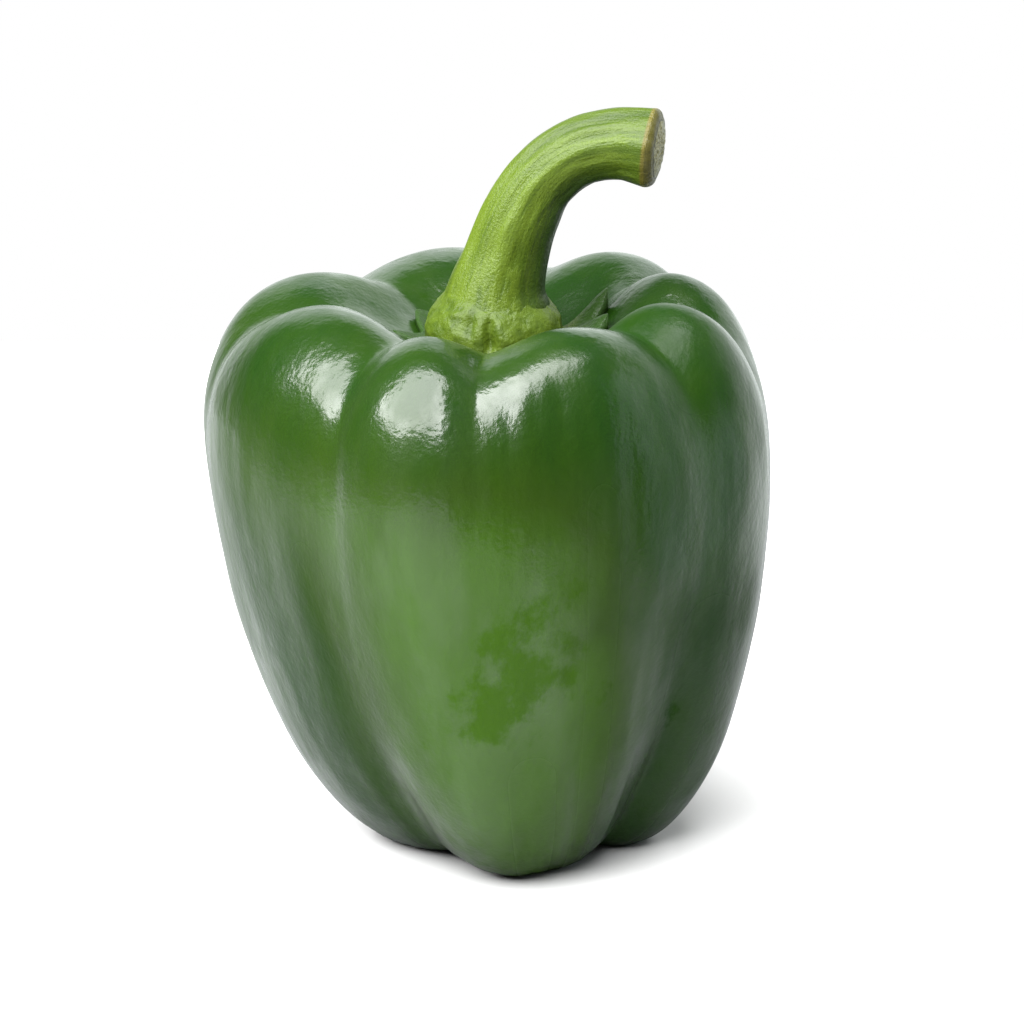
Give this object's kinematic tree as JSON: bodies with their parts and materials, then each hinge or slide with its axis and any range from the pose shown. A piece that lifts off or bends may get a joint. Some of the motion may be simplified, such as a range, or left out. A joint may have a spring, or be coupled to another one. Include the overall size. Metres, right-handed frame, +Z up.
{
  "type": "bell pepper",
  "caption": "Green bell pepper with four lobes standing on its feet, a calyx in the hollow of its crown and a bent, cut stem.",
  "frame": {"origin": "on the surface the pepper stands on, under the middle of its bounding box", "axes": "+Z up from the feet to the top of the stem, -Y towards the front lobe, +X to the right, where the cut end of the stem points"},
  "size_m": [0.092, 0.101, 0.1229],
  "materials": {
    "skin": "smooth waxy fruit skin, glossy",
    "calyx": "fleshy, lumpy, satin",
    "stem": "fibrous green stem, satin"
  },
  "bodies": {
    "root": {"pepper_body": "skin", "calyx": "calyx", "stem": "stem"}
  },
  "joints": []
}
